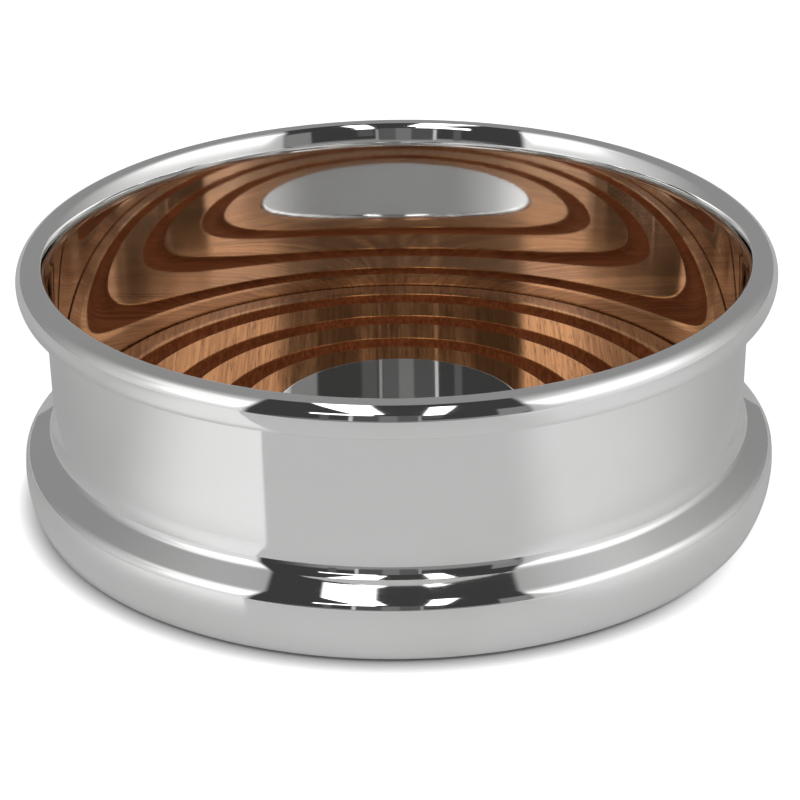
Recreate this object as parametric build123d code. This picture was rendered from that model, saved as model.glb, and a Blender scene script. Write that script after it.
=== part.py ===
from build123d import *
import os
from math import cos, radians, sin, tan

# Wine bottle coaster: a waisted silver gallery on a turned wooden base.
# Millimetres, +Z up, origin on the table under the middle of the coaster.

# Overall size
RIM_RADIUS = 65.0          # widest line of the rim bead
HEIGHT = 45.4              # top of the rim above the table

# Rim moulding
BEAD_RADIUS = 3.2          # round outside of the rim
LIP_RADIUS = 8.0           # slow curve from the wall into the mouth
LIP_TURN = 30.0            # degrees from upright where the slow curve ends
MOUTH_EDGE_ROUND = 1.75    # rounding from the slow curve to the top of the rim

# Gallery wall
SHEET = 1.1                # silver sheet
WALL_FLARE = 1.25          # degrees from upright, wider at the top

# Foot ring
MOULDING_LAND = 0.3        # thin edge of the ring against the wall
FOOT_COVE_RADIUS = 2.1     # hollow between the wall and the shoulder
SHOULDER_SLOPE = 33.4      # degrees below level
SHOULDER_WIDTH = 5.175     # wall to the corner of shoulder and bulge
SHOULDER_HEIGHT = 11.0     # that corner above the table
BULGE_RADIUS = 16.2        # curve of the bulge from shoulder to floor
FOOT_TUCK = 1.47           # how far the bulge draws in at the floor
FLANGE_WIDTH = 4.6         # turned-in edge under the wood
FOOT_SHEET = 0.9           # thickness of the foot ring
COLLAR_DEPTH = 5.8         # sleeve round the lower end of the wall
SHOULDER_EDGE_ROUND = 2.4
FOOT_EDGE_ROUND = 0.6

# Wooden base
SEAT_HEIGHT = 13.6         # flats of the wood, where the bottle stands
RING_FLAT = 6.2            # flat between two turned grooves
GROOVE_WIDTH = 4.0
GROOVE_DEPTH = 1.0
WOOD_EDGE_ROUND = 0.4

# Boss and its fixing
BOSS_RADIUS = 22.3
BOSS_THICKNESS = 1.5
BOSS_INLAY = 0.9           # depth of its seat in the wood
BOSS_EDGE_ROUND = 0.6
STUD_DIAMETER = 4.0
STUD_TAIL = 0.3            # stud beyond the nut
NUT_ACROSS_FLATS = 7.0
NUT_THICKNESS = 3.2
NUT_CHAMFER = 30.0         # degrees, on the corners of both faces
WASHER_DIAMETER = 9.0
WASHER_THICKNESS = 0.8
RECESS_MARGIN = 1.5        # room round the washer for a spanner
RECESS_COVER = 0.3         # air between the stud and the baize

# Baize
BAIZE_PROUD = 0.5          # baize below the silver edge

# Clearances
SOLDER_GAP = 0.08          # soldered sleeves
WOOD_CLEARANCE = 0.15      # wood inside the silver
BOSS_CLEARANCE = 0.1       # boss in its seat
STUD_CLEARANCE = 0.2       # stud in its hole and washer
THREAD_CLEARANCE = 0.05    # nut on the stud
BAIZE_CLEARANCE = 0.3      # baize inside the turned-in edge

# Places shared by several pieces
flare, lip_turn, shoulder_slope = radians(WALL_FLARE), radians(LIP_TURN), radians(SHOULDER_SLOPE)
lip_rise = LIP_RADIUS * (sin(lip_turn) - sin(flare)) + MOUTH_EDGE_ROUND * (1 - sin(lip_turn))
lip_spread = LIP_RADIUS * (cos(flare) - cos(lip_turn)) + MOUTH_EDGE_ROUND * cos(lip_turn)
cove_to_corner = SHOULDER_WIDTH - SOLDER_GAP - MOULDING_LAND - FOOT_COVE_RADIUS
wall_top = HEIGHT - lip_rise
wall_foot = SHOULDER_HEIGHT + (FOOT_COVE_RADIUS + cove_to_corner * sin(shoulder_slope)) / cos(shoulder_slope)
wall_end = wall_foot - COLLAR_DEPTH
mouth_radius = RIM_RADIUS - BEAD_RADIUS - lip_spread
waist_inside = mouth_radius - (wall_top - wall_foot) * tan(flare)
waist_outside = waist_inside + SHEET
collar_bore = waist_outside + SOLDER_GAP
shoulder_radius = waist_outside + SHOULDER_WIDTH
foot_radius = shoulder_radius - FOOT_TUCK
flange_radius = foot_radius - FLANGE_WIDTH
wood_bottom = BAIZE_PROUD + FOOT_SHEET
boss_bottom = SEAT_HEIGHT - BOSS_INLAY
stud_bottom = wood_bottom + RECESS_COVER
nut_bottom = stud_bottom + STUD_TAIL
washer_bottom = nut_bottom + NUT_THICKNESS
recess_top = washer_bottom + WASHER_THICKNESS


def wall_radius(height):
    """Inside radius of the flared wall at a height above its straight foot."""
    return mouth_radius - (wall_top - height) * tan(flare)


def turned(edges):
    """Solid of revolution about the upright axis, from a closed outline of (radius, height) edges."""
    return revolve(Plane.XZ * make_face(edges), Axis.Z)


def rounded(face, corners):
    """Outline with the corners nearest to some points rounded, each by its own radius."""
    for place, radius in corners:
        corner = face.vertices().sort_by_distance(place)[0]
        face = fillet(corner, radius)
    return face


def ring(inside, outside, bottom, top):
    """Plain flat ring or sleeve."""
    middle = (inside + outside) / 2
    outline = Rectangle(outside - inside, top - bottom)
    return revolve(Plane.XZ * Pos(middle, (bottom + top) / 2) * outline, Axis.Z)


def rim_moulding():
    """Round bead that runs into the mouth in a slow curve, resting on the top edge of the wall."""
    bead_centre = (RIM_RADIUS - BEAD_RADIUS, HEIGHT - BEAD_RADIUS)
    edge_centre = (RIM_RADIUS - BEAD_RADIUS, HEIGHT - MOUTH_EDGE_ROUND)
    lip_centre = (mouth_radius + LIP_RADIUS * cos(flare), wall_top - LIP_RADIUS * sin(flare))
    lower_edge = HEIGHT - 2 * BEAD_RADIUS
    back_low = wall_radius(lower_edge) + SHEET + SOLDER_GAP
    back_top = mouth_radius + SHEET + SOLDER_GAP
    return turned([
        CenterArc(lip_centre, LIP_RADIUS, 180 - WALL_FLARE, WALL_FLARE - LIP_TURN),
        CenterArc(edge_centre, MOUTH_EDGE_ROUND, 180 - LIP_TURN, LIP_TURN - 90),
        CenterArc(bead_centre, BEAD_RADIUS, 90, -180),
        Polyline(
            (bead_centre[0], lower_edge),
            (back_low, lower_edge),
            (back_top, wall_top),
            (mouth_radius, wall_top),
        ),
    ])


def gallery():
    """Thin wall: straight where the foot ring holds it, flared above."""
    return turned(Polyline(
        (waist_inside, wall_end),
        (waist_inside, wall_foot),
        (mouth_radius, wall_top),
        (mouth_radius + SHEET, wall_top),
        (waist_outside, wall_foot),
        (waist_outside, wall_end),
        close=True,
    ))


def foot_ring():
    """Cove, sloping shoulder and bulge, with a sleeve for the wall and an edge turned in under the wood."""
    cove_top = (collar_bore + MOULDING_LAND, wall_foot)
    cove_centre = (cove_top[0] + FOOT_COVE_RADIUS, wall_foot)
    cove_end = (
        cove_centre[0] - FOOT_COVE_RADIUS * sin(shoulder_slope),
        cove_centre[1] - FOOT_COVE_RADIUS * cos(shoulder_slope),
    )
    shoulder_edge = (shoulder_radius, SHOULDER_HEIGHT)
    foot_edge = (foot_radius, BAIZE_PROUD)
    inner_foot = (foot_radius - FOOT_SHEET, wood_bottom)
    inner_shoulder = (
        shoulder_radius - FOOT_SHEET,
        SHOULDER_HEIGHT - FOOT_SHEET * (1 - sin(shoulder_slope)) / cos(shoulder_slope),
    )
    collar_outside = collar_bore + FOOT_SHEET
    collar_corner = inner_shoulder[1] + (inner_shoulder[0] - collar_outside) * tan(shoulder_slope)
    outline = make_face([
        Line((collar_bore, wall_foot), cove_top),
        CenterArc(cove_centre, FOOT_COVE_RADIUS, 180, 90 - SHOULDER_SLOPE),
        Line(cove_end, shoulder_edge),
        RadiusArc(shoulder_edge, foot_edge, BULGE_RADIUS),
        Polyline(foot_edge, (flange_radius, BAIZE_PROUD), (flange_radius, wood_bottom), inner_foot),
        RadiusArc(inner_foot, inner_shoulder, -(BULGE_RADIUS - FOOT_SHEET)),
        Polyline(
            inner_shoulder,
            (collar_outside, collar_corner),
            (collar_outside, wall_end),
            (collar_bore, wall_end),
            (collar_bore, wall_foot),
        ),
    ])
    outline = rounded(outline, [
        (shoulder_edge, SHOULDER_EDGE_ROUND),
        (foot_edge, FOOT_EDGE_ROUND),
    ])
    return revolve(Plane.XZ * outline, Axis.Z)


def wooden_base():
    """Stepped disc, held between the wall and the turned-in edge, with grooves turned in its top."""
    top_radius = waist_inside - WOOD_CLEARANCE
    low_radius = foot_radius - FOOT_SHEET - WOOD_CLEARANCE
    seat_radius = BOSS_RADIUS + BOSS_CLEARANCE
    hole_radius = STUD_DIAMETER / 2 + STUD_CLEARANCE
    recess_radius = WASHER_DIAMETER / 2 + RECESS_MARGIN
    outline = make_face(Polyline(
        (hole_radius, recess_top),
        (recess_radius, recess_top),
        (recess_radius, wood_bottom),
        (low_radius, wood_bottom),
        (low_radius, wall_end),
        (top_radius, wall_end),
        (top_radius, SEAT_HEIGHT),
        (seat_radius, SEAT_HEIGHT),
        (seat_radius, boss_bottom),
        (hole_radius, boss_bottom),
        close=True,
    ))
    outline = rounded(outline, [((top_radius, SEAT_HEIGHT), WOOD_EDGE_ROUND)])
    groove = seat_radius + RING_FLAT
    while groove + GROOVE_WIDTH + RING_FLAT / 2 < top_radius:
        outline -= make_face([
            ThreePointArc(
                (groove, SEAT_HEIGHT),
                (groove + GROOVE_WIDTH / 2, SEAT_HEIGHT - GROOVE_DEPTH),
                (groove + GROOVE_WIDTH, SEAT_HEIGHT),
            ),
            Line((groove + GROOVE_WIDTH, SEAT_HEIGHT), (groove, SEAT_HEIGHT)),
        ])
        groove += GROOVE_WIDTH + RING_FLAT
    return revolve(Plane.XZ * outline, Axis.Z)


def boss():
    """Flat disc with a rounded edge, standing slightly above the wood."""
    top = boss_bottom + BOSS_THICKNESS
    outline = make_face(Polyline(
        (0, boss_bottom),
        (BOSS_RADIUS, boss_bottom),
        (BOSS_RADIUS, top),
        (0, top),
        close=True,
    ))
    outline = rounded(outline, [((BOSS_RADIUS, top), BOSS_EDGE_ROUND)])
    return revolve(Plane.XZ * outline, Axis.Z)


def boss_stud():
    """Round stud from the underside of the boss to just below its nut."""
    length = boss_bottom - stud_bottom
    return Pos(0, 0, stud_bottom) * Cylinder(
        STUD_DIAMETER / 2, length, align=(Align.CENTER, Align.CENTER, Align.MIN))


def boss_washer():
    """Flat washer against the top of the recess."""
    hole = STUD_DIAMETER / 2 + STUD_CLEARANCE
    return ring(hole, WASHER_DIAMETER / 2, washer_bottom, recess_top)


def boss_nut():
    """Hexagon nut under the washer, with its corners turned off."""
    flat = NUT_ACROSS_FLATS / 2
    corner = flat / cos(radians(30))
    chamfer_height = (corner - flat) * tan(radians(NUT_CHAMFER))
    hexagon = RegularPolygon(flat, 6, major_radius=False)
    bore = Circle(STUD_DIAMETER / 2 + THREAD_CLEARANCE)
    turning = turned(Polyline(
        (0, 0),
        (flat, 0),
        (corner, chamfer_height),
        (corner, NUT_THICKNESS - chamfer_height),
        (flat, NUT_THICKNESS),
        (0, NUT_THICKNESS),
        close=True,
    ))
    return Pos(0, 0, nut_bottom) * (extrude(hexagon - bore, NUT_THICKNESS) & turning)


def baize():
    """Felt disc under the wood, inside the turned-in silver edge."""
    return Cylinder(
        flange_radius - BAIZE_CLEARANCE, wood_bottom, align=(Align.CENTER, Align.CENTER, Align.MIN))


os.makedirs("parts", exist_ok=True)
for piece in (
    rim_moulding,
    gallery,
    foot_ring,
    wooden_base,
    boss,
    boss_stud,
    boss_washer,
    boss_nut,
    baize,
):
    export_step(piece(), f"parts/{piece.__name__}.step")
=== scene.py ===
from math import atan2, cos, degrees, pi, radians, sin, sqrt, tan

import bpy
from mathutils import Matrix, Vector


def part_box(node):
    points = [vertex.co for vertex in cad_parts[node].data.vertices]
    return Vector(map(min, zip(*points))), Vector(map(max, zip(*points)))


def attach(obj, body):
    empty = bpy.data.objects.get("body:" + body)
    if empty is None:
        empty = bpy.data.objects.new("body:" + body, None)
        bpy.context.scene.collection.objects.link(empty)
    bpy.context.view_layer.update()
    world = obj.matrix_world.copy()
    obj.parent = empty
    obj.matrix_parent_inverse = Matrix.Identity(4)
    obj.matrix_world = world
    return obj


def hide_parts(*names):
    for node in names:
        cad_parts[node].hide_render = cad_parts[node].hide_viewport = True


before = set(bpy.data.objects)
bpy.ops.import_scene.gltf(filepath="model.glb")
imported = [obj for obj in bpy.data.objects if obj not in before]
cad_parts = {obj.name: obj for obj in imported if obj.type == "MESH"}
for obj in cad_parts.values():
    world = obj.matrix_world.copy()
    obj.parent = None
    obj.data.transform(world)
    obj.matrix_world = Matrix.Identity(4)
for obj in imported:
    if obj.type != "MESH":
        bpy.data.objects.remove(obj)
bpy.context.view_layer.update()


# Gallery: the plain wall of the coaster, silver sheet about a millimetre thick, raised into a ring and
# flared a little towards the top. Its straight foot is soldered into the collar of the foot ring, and
# both faces are mirror-polished, with hairlines left round them by the polishing mop.
MM = 0.001
SHEET = 1.1 * MM
WALL_FLARE = 1.25         # slope of the outer face, in degrees from upright
FOOT_LEAN = 3.2           # slope of the inner face at the wood
WAIST_LEAN = 0.7          # at its waist
MOUTH_LEAN = 2.7          # and at the rim
WAIST_HEIGHT = 24.0 * MM
BEAD_RADIUS = 3.2 * MM    # the rim, which the inner face runs into
LIP_RADIUS = 8.0 * MM
LIP_TURN = 30
MOUTH_EDGE_ROUND = 1.5 * MM
ROUND_STEPS = 288         # faces round a turned piece
HOLD = 0.06 * MM          # holding edges beside each bend, so that flat stretches reflect as flat ones
LONG_STRETCH = 8 * HOLD   # only stretches longer than this get them
SAME_PLACE = 0.001 * MM   # vertices nearer than this are one
SMOOTH_ANGLE = radians(30)

gallery_low, gallery_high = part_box("gallery")
foot_low, foot_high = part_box("foot_ring")
rim_low, rim_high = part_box("rim_moulding")
wood_low, wood_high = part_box("wooden_base")
wall_end = gallery_low.z
wall_foot = foot_high.z


def outer_face(height):
    """Radius of the wall's outer face."""
    return gallery_high.x - (gallery_high.z - height) * tan(radians(WALL_FLARE))


def on_round(centre, radius, angle):
    """A point at an angle from a centre, as (radius, height); in degrees, 0 outwards and 90 up."""
    return (centre[0] + radius * cos(radians(angle)), centre[1] + radius * sin(radians(angle)))


waist_outside = outer_face(wall_foot)
waist_inside = waist_outside - SHEET
bead_centre = (rim_high.x - BEAD_RADIUS, rim_high.z - BEAD_RADIUS)
edge_centre = (bead_centre[0], rim_high.z - MOUTH_EDGE_ROUND)
lip_centre = on_round(edge_centre, LIP_RADIUS - MOUTH_EDGE_ROUND, -LIP_TURN)
mouth = on_round(lip_centre, LIP_RADIUS, 180 - MOUTH_LEAN)
waist_turn = sin(radians(WAIST_LEAN))
upper_bend = (mouth[1] - WAIST_HEIGHT) / (sin(radians(MOUTH_LEAN)) - waist_turn)
lower_bend = (WAIST_HEIGHT - wood_high.z) / (sin(radians(FOOT_LEAN)) - waist_turn)
upper_centre = on_round(mouth, upper_bend, -MOUTH_LEAN)
waist = on_round(upper_centre, upper_bend, 180 - WAIST_LEAN)
lower_centre = on_round(waist, lower_bend, 180 - WAIST_LEAN)
wall_at_wood = on_round(lower_centre, lower_bend, -FOOT_LEAN)


def arc(centre, radius, start, end, steps=24):
    """A round stretch of an outline, between two angles from its centre."""
    first = on_round(centre, radius, start)
    return {"centre": centre, "first": first, "turn": radians(end - start), "steps": steps}


def go_to(point):
    """Extrudes the outline straight to a point, with holding points near the ends of a long stretch."""
    here = bpy.context.object.data
    bpy.context.object.update_from_editmode()
    start = next(Vector((v.co.x, v.co.z)) for v in here.vertices if v.select)
    way = Vector(point) - start
    steps = [way]
    if way.length > LONG_STRETCH:
        short = way.normalized() * HOLD
        steps = [short, way - 2 * short, short]
    if way.length > SAME_PLACE:
        for step in steps:
            bpy.ops.mesh.extrude_region_move(TRANSFORM_OT_translate={"value": (step.x, 0, step.y)})


def turned(name, outline):
    """A turned piece: one vertex is drawn along an outline of points and arcs, and turned about Z."""
    bpy.ops.object.select_all(action="DESELECT")
    bpy.ops.mesh.primitive_plane_add(size=MM, location=(0, 0, 0))
    piece = bpy.context.object
    piece.name = name
    bpy.ops.object.mode_set(mode="EDIT")
    bpy.ops.mesh.select_mode(type="VERT")
    bpy.ops.mesh.select_all(action="SELECT")
    bpy.ops.mesh.merge(type="CENTER")
    bpy.ops.transform.translate(value=(outline[0][0], 0, outline[0][1]))
    for stretch in outline[1:]:
        if isinstance(stretch, dict):
            go_to(stretch["first"])
            centre = (stretch["centre"][0], 0, stretch["centre"][1])
            bpy.ops.mesh.spin(steps=stretch["steps"], angle=stretch["turn"], center=centre, axis=(0, 1, 0))
        else:
            go_to(stretch)
    bpy.ops.object.mode_set(mode="OBJECT")
    bpy.ops.object.modifier_add(type="SCREW")
    lathe = piece.modifiers["Screw"]
    lathe.steps = ROUND_STEPS
    lathe.render_steps = ROUND_STEPS
    lathe.use_merge_vertices = True
    lathe.merge_threshold = SAME_PLACE
    bpy.ops.object.modifier_apply(modifier=lathe.name)
    bpy.ops.object.mode_set(mode="EDIT")
    bpy.ops.mesh.select_all(action="SELECT")
    bpy.ops.mesh.remove_doubles(threshold=SAME_PLACE)
    bpy.ops.mesh.normals_make_consistent(inside=False)
    bpy.ops.object.mode_set(mode="OBJECT")
    bpy.ops.object.shade_smooth_by_angle(angle=SMOOTH_ANGLE)
    return piece


def finished(piece, material, node):
    """Gives a piece its finish and puts it in the place of its CAD node."""
    piece.data.materials.clear()
    piece.data.materials.append(material)
    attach(piece, "root")
    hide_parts(node)


def new_material(name):
    """A new material: its node tree, its Principled shader and the material itself."""
    material = bpy.data.materials.new(name)
    material.use_nodes = True
    return material.node_tree, material.node_tree.nodes["Principled BSDF"], material


def add_node(tree, kind, inputs, **settings):
    """Adds a node to a material, a group or the world. Each input is a number, a colour or a socket."""
    node = tree.nodes.new(kind)
    for setting, value in settings.items():
        setattr(node, setting, value)
    for place, value in inputs.items():
        if isinstance(value, bpy.types.NodeSocket):
            tree.links.new(value, node.inputs[place])
        else:
            node.inputs[place].default_value = value
    return node


def rise(tree, value, start, end, low=0.0, high=1.0):
    """A smooth change from low to high as a value goes from start to end."""
    limits = {"Value": value, "From Min": start, "From Max": end, "To Min": low, "To Max": high}
    return add_node(tree, "ShaderNodeMapRange", limits, interpolation_type="SMOOTHSTEP").outputs["Result"]


def mixed(tree, share, first, second):
    """A colour between two others."""
    node = add_node(tree, "ShaderNodeMix", {"Factor": share, "A": first, "B": second}, data_type="RGBA")
    return node.outputs["Result"]


def maths(tree, operation, *values):
    """The result of a Math node, fed with sockets or numbers."""
    node = add_node(tree, "ShaderNodeMath", dict(enumerate(values)), operation=operation)
    return node.outputs["Value"]


def distance_from_axis(tree, position):
    """How far a point of a turned piece is from its axis."""
    level = add_node(tree, "ShaderNodeVectorMath", {0: position, 1: (1, 1, 0)}, operation="MULTIPLY")
    distance = add_node(tree, "ShaderNodeVectorMath", {0: level.outputs["Vector"]}, operation="LENGTH")
    return distance.outputs["Value"]


# What polishing leaves on metal: hairlines that run round the piece, and a faint uneven bloom.
BLOOM_SIZE = 30           # patches in a metre
BLOOM_DETAIL = 3
HAIRLINE_RUN = (25, 25, 0)   # changes along a hairline, in a metre
HAIRLINE_DETAIL = 2
WEAR_RANGE = (0.1, 0.4)   # bloom times hairlines, from the brightest polish to the dullest

polish_marks = bpy.data.node_groups.new("polish_marks", "ShaderNodeTree")
polish_marks.interface.new_socket("Position", in_out="INPUT", socket_type="NodeSocketVector")
polish_marks.interface.new_socket("Lines per Metre", in_out="INPUT", socket_type="NodeSocketFloat")
polish_marks.interface.new_socket("Hairlines", in_out="OUTPUT", socket_type="NodeSocketFloat")
polish_marks.interface.new_socket("Bloom", in_out="OUTPUT", socket_type="NodeSocketFloat")
given = add_node(polish_marks, "NodeGroupInput", {})
place = given.outputs["Position"]
density = given.outputs["Lines per Metre"]
outwards = distance_from_axis(polish_marks, place)
along = add_node(polish_marks, "ShaderNodeVectorMath", {0: place, 1: HAIRLINE_RUN}, operation="MULTIPLY")
height = add_node(polish_marks, "ShaderNodeSeparateXYZ", {"Vector": place}).outputs["Z"]
height_lines = maths(polish_marks, "MULTIPLY", height, density)
upwards = add_node(polish_marks, "ShaderNodeCombineXYZ", {"Z": height_lines})
stretched = add_node(
    polish_marks,
    "ShaderNodeVectorMath",
    {0: along.outputs["Vector"], 1: upwards.outputs["Vector"]},
    operation="ADD",
)
outward_lines = maths(polish_marks, "MULTIPLY", outwards, density)
hairline_look = {
    "Vector": stretched.outputs["Vector"],
    "W": outward_lines,
    "Scale": 1.0,
    "Detail": HAIRLINE_DETAIL,
}
hairlines = add_node(polish_marks, "ShaderNodeTexNoise", hairline_look, noise_dimensions="4D")
bloom_look = {"Vector": place, "Scale": BLOOM_SIZE, "Detail": BLOOM_DETAIL}
bloom = add_node(polish_marks, "ShaderNodeTexNoise", bloom_look)
marks_out = {"Hairlines": hairlines.outputs["Fac"], "Bloom": bloom.outputs["Fac"]}
add_node(polish_marks, "NodeGroupOutput", marks_out)


def polished(tree, shader, lines, roughness, line_depth):
    """Puts polishing marks on a metal: its roughness as (least, most), and the depth of its hairlines.
    Gives the bloom, for the metal's colour."""
    position = add_node(tree, "ShaderNodeTexCoord", {}).outputs["Object"]
    marks = add_node(tree, "ShaderNodeGroup", {}, node_tree=polish_marks)
    marks.inputs["Lines per Metre"].default_value = lines
    tree.links.new(position, marks.inputs["Position"])
    worn = maths(tree, "MULTIPLY", marks.outputs["Bloom"], marks.outputs["Hairlines"])
    tree.links.new(rise(tree, worn, *WEAR_RANGE, *roughness), shader.inputs["Roughness"])
    relief = {"Height": marks.outputs["Hairlines"], "Distance": line_depth, "Strength": 1.0}
    tree.links.new(add_node(tree, "ShaderNodeBump", relief).outputs["Normal"], shader.inputs["Normal"])
    return marks.outputs["Bloom"]


SILVER_BRIGHT = (0.93, 0.93, 0.925, 1)
SILVER_BLOOM = (0.89, 0.885, 0.87, 1)
SILVER_BLOOM_RANGE = (0.45, 0.75)

silver, silver_shader, polished_silver = new_material("polished_silver")
silver_shader.inputs["Metallic"].default_value = 1.0
silver_bloom = polished(silver, silver_shader, lines=4000, roughness=(0.02, 0.05), line_depth=0.0004 * MM)
silver.links.new(
    mixed(silver, rise(silver, silver_bloom, *SILVER_BLOOM_RANGE), SILVER_BRIGHT, SILVER_BLOOM),
    silver_shader.inputs["Base Color"],
)

gallery = turned("gallery_wall", [
    (wall_at_wood[0], wall_end),
    arc(lower_centre, lower_bend, -FOOT_LEAN, -WAIST_LEAN),
    arc(upper_centre, upper_bend, 180 - WAIST_LEAN, 180 - MOUTH_LEAN),
    (outer_face(mouth[1]), mouth[1]),
    (waist_outside, wall_foot),
    (waist_outside, wall_end),
    (wall_at_wood[0], wall_end),
])
finished(gallery, polished_silver, "gallery")


# Rim moulding: a solid drawn silver moulding, a round bead that runs into the mouth in a slow curve. It is
# bent to a ring, soldered on the upper edge of the wall, and polished with it.
SOLDER_GAP = 0.08 * MM
UNDER_RADIUS = 5.5 * MM   # the flatter lower half of the bead
UNDER_TURN = 25           # degrees that it turns under, to a crisp lower edge
UNDER_EDGE_ROUND = 0.15 * MM

under_centre = (rim_high.x - UNDER_RADIUS, bead_centre[1])
under_edge_centre = on_round(under_centre, UNDER_RADIUS - UNDER_EDGE_ROUND, -UNDER_TURN)
rim_moulding = turned("rim_bead", [
    mouth,
    arc(lip_centre, LIP_RADIUS, 180 - MOUTH_LEAN, 180 - LIP_TURN, steps=32),
    arc(edge_centre, MOUTH_EDGE_ROUND, 180 - LIP_TURN, 90),
    arc(bead_centre, BEAD_RADIUS, 90, 0, steps=48),
    arc(under_centre, UNDER_RADIUS, 0, -UNDER_TURN),
    arc(under_edge_centre, UNDER_EDGE_ROUND, -UNDER_TURN, -90, steps=8),
    (outer_face(rim_low.z) + SOLDER_GAP, under_edge_centre[1] - UNDER_EDGE_ROUND),
    (outer_face(mouth[1]) + SOLDER_GAP, mouth[1]),
    mouth,
])
finished(rim_moulding, polished_silver, "rim_moulding")


# Foot ring: the lower moulding, spun from one strip of silver. A collar takes the foot of the wall, with a
# fillet of solder polished smooth over the joint. Then come a cove, a sloping shoulder and a bulge, and the
# bottom edge is turned in under the wood.
FOOT_COVE_RADIUS = 2.1 * MM
SOLDER_FILLET = 8.0 * MM
MOULDING_LAND = 0.3 * MM
SHOULDER_SLOPE = radians(33.4)
SHOULDER_WIDTH = 5.175 * MM
BULGE_RADIUS = 16.2 * MM
FOOT_TUCK = 1.47 * MM
FLANGE_WIDTH = 4.6 * MM
FOOT_SHEET = 0.9 * MM
SHOULDER_EDGE_ROUND = 2.4 * MM
FOOT_EDGE_ROUND = 0.6 * MM


def bearing(centre, point):
    """Angle from a centre to a point, in the degrees that arc uses."""
    return degrees(atan2(point[1] - centre[1], point[0] - centre[0]))


def centre_left(start, end, radius):
    """Centre of an arc between two points, on the left of the way from start to end."""
    start, end = Vector(start), Vector(end)
    half = (end - start) / 2
    left = Vector((-half.y, half.x)).normalized()
    return start + half + left * sqrt(radius ** 2 - half.length_squared)


collar_bore = waist_outside + SOLDER_GAP
collar_outside = collar_bore + FOOT_SHEET
foot_cove_centre = Vector((collar_bore + MOULDING_LAND + FOOT_COVE_RADIUS, wall_foot))
shoulder_way = Vector((cos(SHOULDER_SLOPE), -sin(SHOULDER_SLOPE)))
shoulder_inside = Vector((-sin(SHOULDER_SLOPE), -cos(SHOULDER_SLOPE)))
shoulder_facing = 90 - degrees(SHOULDER_SLOPE)
cove_end = foot_cove_centre + shoulder_inside * FOOT_COVE_RADIUS
shoulder_run = waist_outside + SHOULDER_WIDTH - cove_end.x
shoulder_edge = cove_end + Vector((shoulder_run, -shoulder_run * tan(SHOULDER_SLOPE)))
foot_edge = Vector((shoulder_edge.x - FOOT_TUCK, foot_low.z))
flange_radius = foot_edge.x - FLANGE_WIDTH
wood_bottom = foot_low.z + FOOT_SHEET
bulge_centre = centre_left(foot_edge, shoulder_edge, BULGE_RADIUS)
inner_foot = (foot_edge.x - FOOT_SHEET, wood_bottom)
inner_drop = FOOT_SHEET * (1 - sin(SHOULDER_SLOPE)) / cos(SHOULDER_SLOPE)
inner_shoulder = (shoulder_edge.x - FOOT_SHEET, shoulder_edge.y - inner_drop)
inner_centre = centre_left(inner_foot, inner_shoulder, BULGE_RADIUS - FOOT_SHEET)
collar_corner = inner_shoulder[1] + (inner_shoulder[0] - collar_outside) * tan(SHOULDER_SLOPE)


def round_centre(corner, along, inwards, size, middle, reach):
    """Centre of a rounding between a straight stretch and an arc: it lies one rounding radius from the
    stretch, and at a given reach from the middle of the arc."""
    start = Vector(corner) + inwards * size - Vector(middle)
    along_start = start.dot(along)
    shift = -along_start + sqrt(along_start ** 2 - start.length_squared + reach ** 2)
    return Vector(middle) + start + along * shift


shoulder_round_centre = round_centre(
    shoulder_edge,
    shoulder_way,
    shoulder_inside,
    SHOULDER_EDGE_ROUND,
    bulge_centre,
    BULGE_RADIUS - SHOULDER_EDGE_ROUND,
)
foot_round_centre = round_centre(
    foot_edge,
    Vector((1, 0)),
    Vector((0, 1)),
    FOOT_EDGE_ROUND,
    bulge_centre,
    BULGE_RADIUS - FOOT_EDGE_ROUND,
)
wall_way = Vector(on_round((0, 0), 1, 90 - WALL_FLARE))
wall_facing = Vector(on_round((0, 0), 1, -WALL_FLARE))
fillet_centre = round_centre(
    (waist_outside, wall_foot),
    wall_way,
    wall_facing,
    SOLDER_FILLET,
    foot_cove_centre,
    SOLDER_FILLET - FOOT_COVE_RADIUS,
)
fillet_end = bearing(fillet_centre, foot_cove_centre) % 360
bulge_start = bearing(bulge_centre, shoulder_round_centre)
bulge_end = bearing(bulge_centre, foot_round_centre)

foot_ring = turned("foot_moulding", [
    (collar_bore, wall_foot),
    arc(fillet_centre, SOLDER_FILLET, 180 - WALL_FLARE, fillet_end, steps=32),
    arc(foot_cove_centre, FOOT_COVE_RADIUS, fillet_end, 270 - degrees(SHOULDER_SLOPE)),
    arc(shoulder_round_centre, SHOULDER_EDGE_ROUND, shoulder_facing, bulge_start),
    arc(bulge_centre, BULGE_RADIUS, bulge_start, bulge_end, steps=40),
    arc(foot_round_centre, FOOT_EDGE_ROUND, bulge_end, -90, steps=16),
    (flange_radius, foot_low.z),
    (flange_radius, wood_bottom),
    arc(
        inner_centre,
        BULGE_RADIUS - FOOT_SHEET,
        bearing(inner_centre, inner_foot),
        bearing(inner_centre, inner_shoulder),
        steps=12,
    ),
    (collar_outside, collar_corner),
    (collar_outside, wall_end),
    (collar_bore, wall_end),
    (collar_bore, wall_foot),
])
finished(foot_ring, polished_silver, "foot_ring")


# Wooden base: a stepped disc of mahogany, turned on a lathe. The wall ends on its step and the edge of the
# foot ring holds it from below. Three hollow grooves run round its top, and the flats are polished.
GROOVES = 3
GROOVE_WIDTH = 4.0 * MM
GROOVE_DEPTH = 1.0 * MM
RING_FLAT = 6.2 * MM
WOOD_CLEARANCE = 0.45 * MM
WOOD_EDGE_ROUND = 0.3 * MM
EDGE_FALL = 5             # degrees that the outer flat falls towards the wall
GROOVE_EDGE_ROUND = 0.2 * MM
BOSS_CLEARANCE = 0.1 * MM
STUD_CLEARANCE = 0.2 * MM
RECESS_MARGIN = 1.5 * MM

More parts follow.
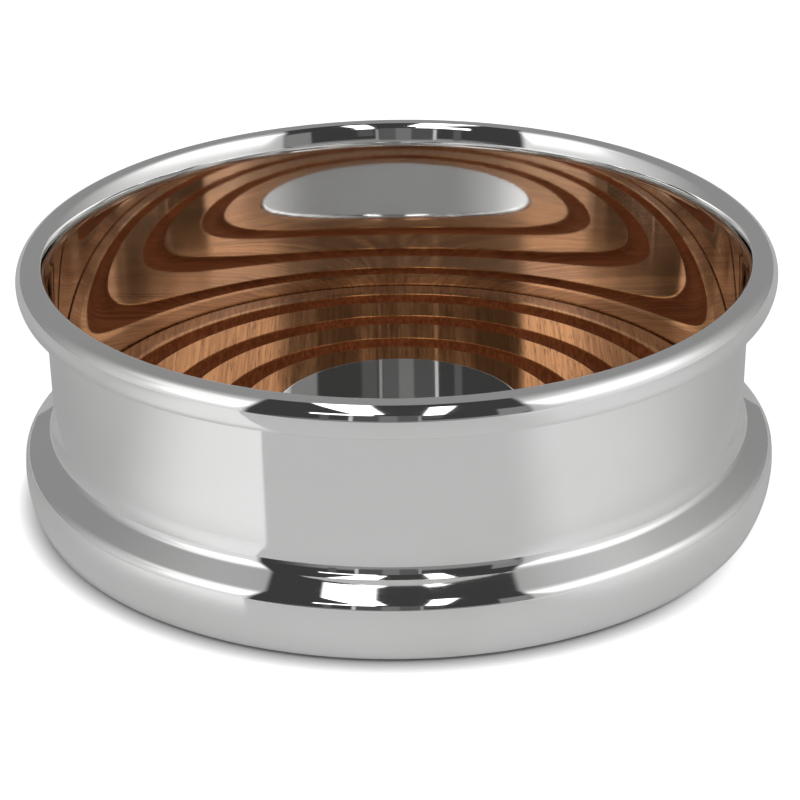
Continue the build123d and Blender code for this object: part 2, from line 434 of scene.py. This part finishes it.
boss_low, boss_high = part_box("boss")
stud_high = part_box("boss_stud")[1]
washer_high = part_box("boss_washer")[1]
wood_top_radius = waist_inside - WOOD_CLEARANCE
seat_radius = boss_high.x + BOSS_CLEARANCE
hole_radius = stud_high.x + STUD_CLEARANCE
recess_radius = washer_high.x + RECESS_MARGIN
groove_radius = ((GROOVE_WIDTH / 2) ** 2 + GROOVE_DEPTH ** 2) / (2 * GROOVE_DEPTH)
groove_centre_height = wood_high.z - GROOVE_DEPTH + groove_radius
groove_pitch = GROOVE_WIDTH + RING_FLAT
first_middle = seat_radius + RING_FLAT + GROOVE_WIDTH / 2
groove_middles = [first_middle + turn * groove_pitch for turn in range(GROOVES)]


def groove(middle):
    """A hollow groove with eased edges, from its inner edge to its outer one."""
    easing_height = wood_high.z - GROOVE_EDGE_ROUND
    centre_above = groove_centre_height - easing_height
    spread = sqrt((groove_radius + GROOVE_EDGE_ROUND) ** 2 - centre_above ** 2)
    inner, outer = (middle - spread, easing_height), (middle + spread, easing_height)
    centre = (middle, groove_centre_height)
    meets = bearing(centre, outer)
    return [
        arc(inner, GROOVE_EDGE_ROUND, 90, bearing(inner, centre), steps=6),
        arc(centre, groove_radius, -180 - meets, meets),
        arc(outer, GROOVE_EDGE_ROUND, bearing(outer, centre), 90, steps=6),
    ]


outer_groove_end = groove_middles[-1] + GROOVE_WIDTH / 2
edge_drop = (wood_top_radius - outer_groove_end) * tan(radians(EDGE_FALL))
wood_corner = (wood_top_radius - WOOD_EDGE_ROUND, wood_high.z - edge_drop - WOOD_EDGE_ROUND)
seat_edge_centre = (seat_radius + GROOVE_EDGE_ROUND, wood_high.z - GROOVE_EDGE_ROUND)
wooden_base = turned("turned_base", [
    (hole_radius, washer_high.z),
    (hole_radius, boss_low.z),
    (seat_radius, boss_low.z),
    arc(seat_edge_centre, GROOVE_EDGE_ROUND, 180, 90, steps=6),
    *[stretch for middle in groove_middles for stretch in groove(middle)],
    arc(wood_corner, WOOD_EDGE_ROUND, 90 - EDGE_FALL, 0, steps=8),
    (wood_top_radius, wall_end),
    (wood_high.x, wall_end),
    (wood_high.x, wood_low.z),
    (recess_radius, wood_low.z),
    (recess_radius, washer_high.z),
    (hole_radius, washer_high.z),
])

WOOD_DARK = (0.30, 0.113, 0.036, 1)     # the polished flats
WOOD_LIGHT = (0.52, 0.230, 0.086, 1)
HOLLOW_DARK = (0.12, 0.031, 0.010, 1)   # the grooves, which hold more stain and less polish
HOLLOW_LIGHT = (0.21, 0.060, 0.020, 1)
PORE_COLOUR = (0.10, 0.028, 0.009, 1)
POLISH_TINT = (1.0, 0.93, 0.85, 1)      # keeps the polish warm where it is seen at a low angle
FIGURE_SCALE = (70, 6, 70)          # the broad figure, in changes per metre; the grain runs along Y
STREAK_SCALE = (1900, 45, 1900)
PORE_SCALE = (3600, 170, 3600)
FIGURE_DETAIL = 4
FIGURE_WAVE = 0.6
STREAK_DETAIL = 2
PORE_DETAIL = 1
FIGURE_SHARE = 0.45                 # of the light and dark pattern; the fine streaks have the rest
PATTERN_RANGE = (0.37, 0.63)        # of the noise, from the dark colour to the light one
PORE_RANGE = (0.58, 0.72)
PORE_STRENGTH = 0.7
HOLLOW_START = 0.02 * MM            # below the flats: the polish ends here
HOLLOW_FULL = 0.15 * MM             # and the stain is full from here
OUTER_START = 0.1 * MM              # beyond the last groove, where the outer flat's polish begins
OUTER_DULLNESS = 0.45               # the flat outside the last groove, from polished 0 to stained 1
POLISH_ROUGHNESS = (0.20, 0.42)     # of the flats and of the grooves
POLISH_METAL = (0.84, 0.15)         # how much they mirror as metal does, flats and grooves

wood, wood_shader, mahogany = new_material("polished_mahogany")
wood_place = add_node(wood, "ShaderNodeTexCoord", {}).outputs["Object"]


def grain(scale, detail, distortion=0.0):
    """Noise drawn out along the grain of the wood."""
    drawn = add_node(wood, "ShaderNodeVectorMath", {0: wood_place, 1: scale}, operation="MULTIPLY")
    look = {"Vector": drawn.outputs["Vector"], "Scale": 1.0, "Detail": detail, "Distortion": distortion}
    return add_node(wood, "ShaderNodeTexNoise", look).outputs["Fac"]


figure = grain(FIGURE_SCALE, FIGURE_DETAIL, FIGURE_WAVE)
streaks = grain(STREAK_SCALE, STREAK_DETAIL)
pores = rise(wood, grain(PORE_SCALE, PORE_DETAIL), *PORE_RANGE)
wood_height = add_node(wood, "ShaderNodeSeparateXYZ", {"Vector": wood_place}).outputs["Z"]
from_axis = distance_from_axis(wood, wood_place)
below_flats = rise(wood, wood_height, wood_high.z - HOLLOW_START, wood_high.z - HOLLOW_FULL)
outer_start = outer_groove_end + OUTER_START
inside_edge = rise(wood, from_axis, outer_start, outer_groove_end, OUTER_DULLNESS, 1.0)
matt = maths(wood, "MULTIPLY", below_flats, inside_edge)
figured = maths(wood, "MULTIPLY", figure, FIGURE_SHARE)
streaked = maths(wood, "MULTIPLY_ADD", streaks, 1 - FIGURE_SHARE, figured)
light_streaks = rise(wood, streaked, *PATTERN_RANGE)
flats = mixed(wood, light_streaks, WOOD_DARK, WOOD_LIGHT)
hollows = mixed(wood, light_streaks, HOLLOW_DARK, HOLLOW_LIGHT)
stained = mixed(wood, matt, flats, hollows)
few_pores = maths(wood, "MULTIPLY", pores, PORE_STRENGTH)
wood.links.new(mixed(wood, few_pores, stained, PORE_COLOUR), wood_shader.inputs["Base Color"])
wood.links.new(rise(wood, matt, 0, 1, *POLISH_ROUGHNESS), wood_shader.inputs["Roughness"])
wood.links.new(rise(wood, matt, 0, 1, *POLISH_METAL), wood_shader.inputs["Metallic"])
wood_shader.inputs["Specular IOR Level"].default_value = 0.0
wood_shader.inputs["Specular Tint"].default_value = POLISH_TINT
finished(wooden_base, mahogany, "wooden_base")


# Boss: a flat silver disc with a rounded edge, let into the middle of the wood and polished like a mirror.
# A stud soldered under it goes through the wood.
BOSS_EDGE_ROUND = 0.6 * MM

boss_round_centre = (boss_high.x - BOSS_EDGE_ROUND, boss_high.z - BOSS_EDGE_ROUND)
boss = turned("boss_disc", [
    (0, boss_low.z),
    (boss_high.x, boss_low.z),
    arc(boss_round_centre, BOSS_EDGE_ROUND, 0, 90, steps=16),
    (0, boss_high.z),
])
finished(boss, polished_silver, "boss")


# Fixing of the boss: a brass stud, washer and hexagon nut in a recess under the wood. They pull the boss
# down into its seat, and the baize covers them.
BRASS_BRIGHT = (0.72, 0.55, 0.25, 1)
BRASS_BLOOM = (0.46, 0.31, 0.13, 1)
BRASS_BLOOM_RANGE = (0.35, 0.7)

brass, brass_shader, plain_brass = new_material("plain_brass")
brass_shader.inputs["Metallic"].default_value = 1.0
brass_bloom = polished(brass, brass_shader, lines=2500, roughness=(0.22, 0.45), line_depth=0.004 * MM)
brass.links.new(
    mixed(brass, rise(brass, brass_bloom, *BRASS_BLOOM_RANGE), BRASS_BRIGHT, BRASS_BLOOM),
    brass_shader.inputs["Base Color"],
)

for fixing in ("boss_stud", "boss_washer", "boss_nut"):
    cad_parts[fixing].data.materials.clear()
    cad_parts[fixing].data.materials.append(plain_brass)


# Baize: a disc of green wool felt, cut to fit inside the turned-in silver edge and glued under the wood. It
# stands half a millimetre proud, so that no silver touches the table.
BAIZE_EDGE_ROUND = 0.35 * MM
BAIZE_GREEN = (0.045, 0.15, 0.075, 1)
BAIZE_NAP = (0.085, 0.23, 0.12, 1)
NAP_SCALE = 900           # tufts in a metre
NAP_DETAIL = 3
FIBRE_SCALE = 5000
FIBRE_DETAIL = 2
FIBRE_TANGLE = 2
FIBRE_DEPTH = 0.12 * MM
FELT_RANGE = (0.12, 0.42)   # nap times fibres, from the ground colour to the nap's

baize_low, baize_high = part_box("baize")
baize_round_centre = (baize_high.x - BAIZE_EDGE_ROUND, baize_low.z + BAIZE_EDGE_ROUND)
baize = turned("baize_disc", [
    (0, baize_high.z),
    (baize_high.x, baize_high.z),
    arc(baize_round_centre, BAIZE_EDGE_ROUND, 0, -90, steps=8),
    (0, baize_low.z),
])

felt, felt_shader, green_baize = new_material("green_baize")
felt_place = add_node(felt, "ShaderNodeTexCoord", {}).outputs["Object"]
nap_look = {"Vector": felt_place, "Scale": NAP_SCALE, "Detail": NAP_DETAIL}
nap = add_node(felt, "ShaderNodeTexNoise", nap_look).outputs["Fac"]
fibre_look = {
    "Vector": felt_place,
    "Scale": FIBRE_SCALE,
    "Detail": FIBRE_DETAIL,
    "Distortion": FIBRE_TANGLE,
}
fibres = add_node(felt, "ShaderNodeTexNoise", fibre_look).outputs["Fac"]
felted = maths(felt, "MULTIPLY", nap, fibres)
felt_colour = mixed(felt, rise(felt, felted, *FELT_RANGE), BAIZE_GREEN, BAIZE_NAP)
felt.links.new(felt_colour, felt_shader.inputs["Base Color"])
felt_shader.inputs["Roughness"].default_value = 0.95
felt_shader.inputs["Sheen Weight"].default_value = 0.4
felt_relief = {"Height": felted, "Distance": FIBRE_DEPTH, "Strength": 0.8}
felt_bump = add_node(felt, "ShaderNodeBump", felt_relief)
felt.links.new(felt_bump.outputs["Normal"], felt_shader.inputs["Normal"])
finished(baize, green_baize, "baize")


# Table: a plain white top inside a light tent. It shows white to the camera by a glow, and the coaster's
# shadow on it is partly real and partly painted: an occlusion node darkens that glow near the coaster.
# In the silver it is greyer; a painted glow makes it brightest towards the two lit sides of the tent, and
# painted shade makes it darker at the back.
TABLE_SIZE = 6.0
TABLE_COLOUR = (0.88, 0.88, 0.88, 1)
# painted shade: the table's colour is darker at the back, for all rays but the camera's
TABLE_PAINTED_SHADE = (0.77, 0.77, 0.77, 1)
SEEN_COLOUR = (0.40, 0.40, 0.40, 1)   # for the camera alone
SEEN_GLOW = 0.92
# Painted shadow: an occlusion node darkens the camera's glow near the coaster, on top of the real shade of
# the seen colour.
PAINTED_SHADOW_REACH = 4 * MM
PAINTED_SHADOW_DEPTH = (1.6, 0.1)       # of the painted shadow, as powers of the occlusion: on the left, and on the right, where the light comes from
FOOT_CLEARING = (70 * MM, 96 * MM)   # from the axis: the painted glow begins outside the foot
# Painted glow: the table glows in the silver alone, brightest towards the lit sides of the tent.
LEFT_PAINTED_GLOW = 0.30
RIGHT_PAINTED_GLOW = 0.17
PAINTED_GLOW_LINE = -35 * MM       # the painted left glow begins along a line across the corner of the table
PAINTED_GLOW_LINE_BLUR = 1.5 * MM

# Sides of the table, in degrees from the front, with the right positive: where each begins and ends.
# where the painted shade at the back begins and where it is full
PAINTED_SHADE_SIDES = (65, 115)
LEFT_SIDE = ((-78, -46), (40, 0))
RIGHT_SIDE = ((24, 40), (95, 44))
# where the painted shadow is faint
FAINT_PAINTED_SHADOW_SIDE = ((20, 75), (175, 120))

bpy.ops.object.select_all(action="DESELECT")
bpy.ops.mesh.primitive_plane_add(size=TABLE_SIZE, location=(0, 0, 0))
table = bpy.context.object
table.name = "table"
top, top_shader, white_top = new_material("white_top")

top_place = add_node(top, "ShaderNodeTexCoord", {}).outputs["Object"]
top_spot = add_node(top, "ShaderNodeSeparateXYZ", {"Vector": top_place})
to_front = maths(top, "MULTIPLY", top_spot.outputs["Y"], -1)
table_side = maths(top, "DEGREES", maths(top, "ARCTAN2", top_spot.outputs["X"], to_front))


def side_share(begins, ends):
    """1 over one side of the table, with a smooth beginning and end."""
    return maths(top, "MULTIPLY", rise(top, table_side, *begins), rise(top, table_side, *ends))


painted_shade_share = rise(top, maths(top, "ABSOLUTE", table_side), *PAINTED_SHADE_SIDES)
clear_of_foot = rise(top, distance_from_axis(top, top_place), *FOOT_CLEARING)
corner = maths(top, "SUBTRACT", top_spot.outputs["Y"], top_spot.outputs["X"])
left_start = rise(top, corner, PAINTED_GLOW_LINE - PAINTED_GLOW_LINE_BLUR, PAINTED_GLOW_LINE + PAINTED_GLOW_LINE_BLUR)
# painted glow of the table's two sides, seen in the silver alone
painted_left_glow = maths(top, "MULTIPLY", left_start, side_share(*LEFT_SIDE))
painted_right_glow = maths(top, "MULTIPLY", side_share(*RIGHT_SIDE), RIGHT_PAINTED_GLOW)
lit = maths(top, "MULTIPLY_ADD", painted_left_glow, LEFT_PAINTED_GLOW, painted_right_glow)
seen_by = add_node(top, "ShaderNodeLightPath", {})
to_camera = seen_by.outputs["Is Camera Ray"]
# painted shadow: the glow that the camera sees is darkened where the table is not open above
open_above = add_node(top, "ShaderNodeAmbientOcclusion", {"Distance": PAINTED_SHADOW_REACH}).outputs["AO"]
painted_shadow_depth = rise(top, side_share(*FAINT_PAINTED_SHADOW_SIDE), 0, 1, *PAINTED_SHADOW_DEPTH)
painted_shadow = maths(top, "POWER", open_above, painted_shadow_depth)
seen_glow_with_painted_shadow = maths(top, "MULTIPLY", maths(top, "MULTIPLY", to_camera, SEEN_GLOW), painted_shadow)
# the painted glow is kept off the table near the foot and shows to glossy rays alone
glow = maths(top, "MULTIPLY", lit, clear_of_foot)
painted_glow_in_silver = maths(top, "MULTIPLY", seen_by.outputs["Is Glossy Ray"], glow)
# the table's colour with the painted shade at the back, for all rays but the camera's
colour_with_painted_shade = mixed(top, painted_shade_share, TABLE_COLOUR, TABLE_PAINTED_SHADE)
top.links.new(mixed(top, to_camera, colour_with_painted_shade, SEEN_COLOUR), top_shader.inputs["Base Color"])
top.links.new(maths(top, "ADD", seen_glow_with_painted_shadow, painted_glow_in_silver), top_shader.inputs["Emission Strength"])
top_shader.inputs["Emission Color"].default_value = (1, 1, 1, 1)
top_shader.inputs["Roughness"].default_value = 0.7
top_shader.inputs["Specular IOR Level"].default_value = 0.1
table.data.materials.append(white_top)


# Light: a white cloth tent round the coaster, lit through its sides, with a dark opening to the camera.
# Two light panels and some grey ones stand in the opening, and the silver mirrors them. The camera itself
# sees plain white.
TENT_GREY = 0.27
OPENING_GREY = 0.045
OVERHEAD = 90             # degrees up from the front
OVERHEAD_SPREAD = 0.88    # the smaller it is, the more the panels spread overhead
STRAIGHT = 9000           # splay of a panel with straight sides

world = bpy.data.worlds.new("light_tent")
bpy.context.scene.world = world
world.use_nodes = True
sky = world.node_tree


def band(value, low, high, low_blur, high_blur):
    """1 between two values, with a blur over each end."""
    return maths(
        sky,
        "MULTIPLY",
        rise(sky, value, low - low_blur / 2, low + low_blur / 2),
        rise(sky, value, high + high_blur / 2, high - high_blur / 2),
    )


toward = add_node(sky, "ShaderNodeTexCoord", {}).outputs["Generated"]
way = add_node(sky, "ShaderNodeSeparateXYZ", {"Vector": toward})
forward = maths(sky, "MULTIPLY", way.outputs["Y"], -1)
azimuth = maths(sky, "DEGREES", maths(sky, "ARCTAN2", way.outputs["X"], forward))
elevation = maths(sky, "DEGREES", maths(sky, "ARCSINE", way.outputs["Z"]))
overhead = maths(sky, "DEGREES", maths(sky, "ARCTAN2", way.outputs["Z"], forward))
aside = maths(sky, "DEGREES", maths(sky, "ARCSINE", way.outputs["X"]))
levelness = maths(sky, "COSINE", maths(sky, "RADIANS", overhead))
across = maths(sky, "DIVIDE", aside, maths(sky, "ADD", levelness, OVERHEAD_SPREAD))

# Each layer: across (from, to, blur of each end), upwards (the same), in degrees, and its brightness.
# A layer of the opening also has its splay: the smaller it is, the more the layer widens upwards.
cloth_layers = {
    "left glow": ((-96, -20, 64, 40), (-40, 66, 20, 34), 0.75),
    "left lit side": ((-74, -47, 22, 3), (18, 52, 26, 16), 1.6),
    "left light above": ((-92, -47, 30, 3), (36, 54, 14, 16), 1.05),
    "right glow": ((40, 112, 40, 70), (-40, 66, 20, 34), 0.75),
    "right lit side": ((44, 96, 6, 40), (20, 50, 30, 24), 1.4),
}
opening_layers = {
    "opening": ((-23.5, 20, 1.5, 1.5), (-10, 100, 4, 4), OPENING_GREY, STRAIGHT),
    "side of the opening": ((15, 20, 0.5, 1.5), (6, 42, 4, 6), 0.22, STRAIGHT),
    "table in front": ((-16, 19, 12, 2), (-10, 8, 5, 5), 0.25, STRAIGHT),
    "grey panel": ((-7, 2.7, 1, 1), (5, 36, 3, 3), 0.08, STRAIGHT),
    "left part of the panel": ((-2.9, -0.1, 0.4, 0.4), (5, 36, 3, 3), 0.17, STRAIGHT),
    "right part of the panel": ((-0.1, 2.7, 0.4, 0.4), (5, 36, 3, 3), 0.10, STRAIGHT),
    "right bright edge": ((2.9, 3.4, 0.2, 0.2), (5, 34, 3, 1), 0.30, STRAIGHT),
    "left bright edge": ((-7.4, -6.8, 0.2, 0.2), (5, 34, 3, 1), 0.55, STRAIGHT),
    "far grey strip": ((-11.8, -10.4, 0.4, 0.4), (5, 36, 3, 3), 0.10, STRAIGHT),
    "left light": ((-13.4, -4.4, 1.2, 1.2), (45, 100, 3, 2), 2.8, 0),
    "lower edge of the left light": ((-13.4, -3.8, 0.6, 0.6), (37, 44, 1, 1), 2.4, STRAIGHT),
    "right light": ((5.4, 9.5, 1.2, 1.2), (36, 82, 3, 3), 4.0, 90),
    "strip under the right light": ((3.8, 6.6, 0.6, 0.6), (17, 36, 1, 1), 0.09, STRAIGHT),
}


def laid_over(below, across_by, sides, upwards_by, ends, brightness):
    """One layer of the surroundings over those below it."""
    share = maths(sky, "MULTIPLY", band(across_by, *sides), band(upwards_by, *ends))
    kept = maths(sky, "MULTIPLY", below, maths(sky, "SUBTRACT", 1, share))
    return maths(sky, "MULTIPLY_ADD", share, brightness, kept)


surroundings = TENT_GREY
for sides, ends, brightness in cloth_layers.values():
    surroundings = laid_over(surroundings, azimuth, sides, elevation, ends, brightness)
for sides, ends, brightness, splay in opening_layers.values():
    widening = maths(sky, "DIVIDE", OVERHEAD + splay, maths(sky, "ADD", overhead, splay))
    splayed = maths(sky, "MULTIPLY", across, widening)
    surroundings = laid_over(surroundings, splayed, sides, overhead, ends, brightness)
seen = add_node(sky, "ShaderNodeLightPath", {}).outputs["Is Camera Ray"]
unseen = maths(sky, "SUBTRACT", 1, seen)
sky.links.new(
    maths(sky, "MULTIPLY_ADD", surroundings, unseen, seen),
    sky.nodes["Background"].inputs["Strength"],
)
sky.nodes["Background"].inputs["Color"].default_value = (1, 1, 1, 1)


# Camera: a long lens in front of the coaster, about half a metre away and looking down at it.
CAMERA_PLACE = Vector((0, -493.3, 248.3)) * MM
CAMERA_DOWN = 0.4398      # radians below level
CAMERA_YAW = 0.0006      # radians to the right
CAMERA_ROLL = -0.0126
CAMERA_LENS = 140.3
SENSOR_WIDTH = 36.0
MIRROR_BOUNCES = 12       # light runs round the inside of the wall by many low reflections

ahead = Vector((sin(CAMERA_YAW) * cos(CAMERA_DOWN), cos(CAMERA_YAW) * cos(CAMERA_DOWN), -sin(CAMERA_DOWN)))
level_right = Vector((cos(CAMERA_YAW), -sin(CAMERA_YAW), 0))
level_up = level_right.cross(ahead)
right = level_right * cos(CAMERA_ROLL) + level_up * sin(CAMERA_ROLL)
up = level_up * cos(CAMERA_ROLL) - level_right * sin(CAMERA_ROLL)
camera = bpy.data.objects.new("camera", bpy.data.cameras.new("camera"))
bpy.context.scene.collection.objects.link(camera)
camera.matrix_world = Matrix.Translation(CAMERA_PLACE) @ Matrix((right, up, -ahead)).transposed().to_4x4()
camera.data.lens = CAMERA_LENS
camera.data.sensor_width = SENSOR_WIDTH
bpy.context.scene.camera = camera
bpy.context.scene.view_settings.view_transform = "Standard"
bpy.context.scene.cycles.glossy_bounces = MIRROR_BOUNCES
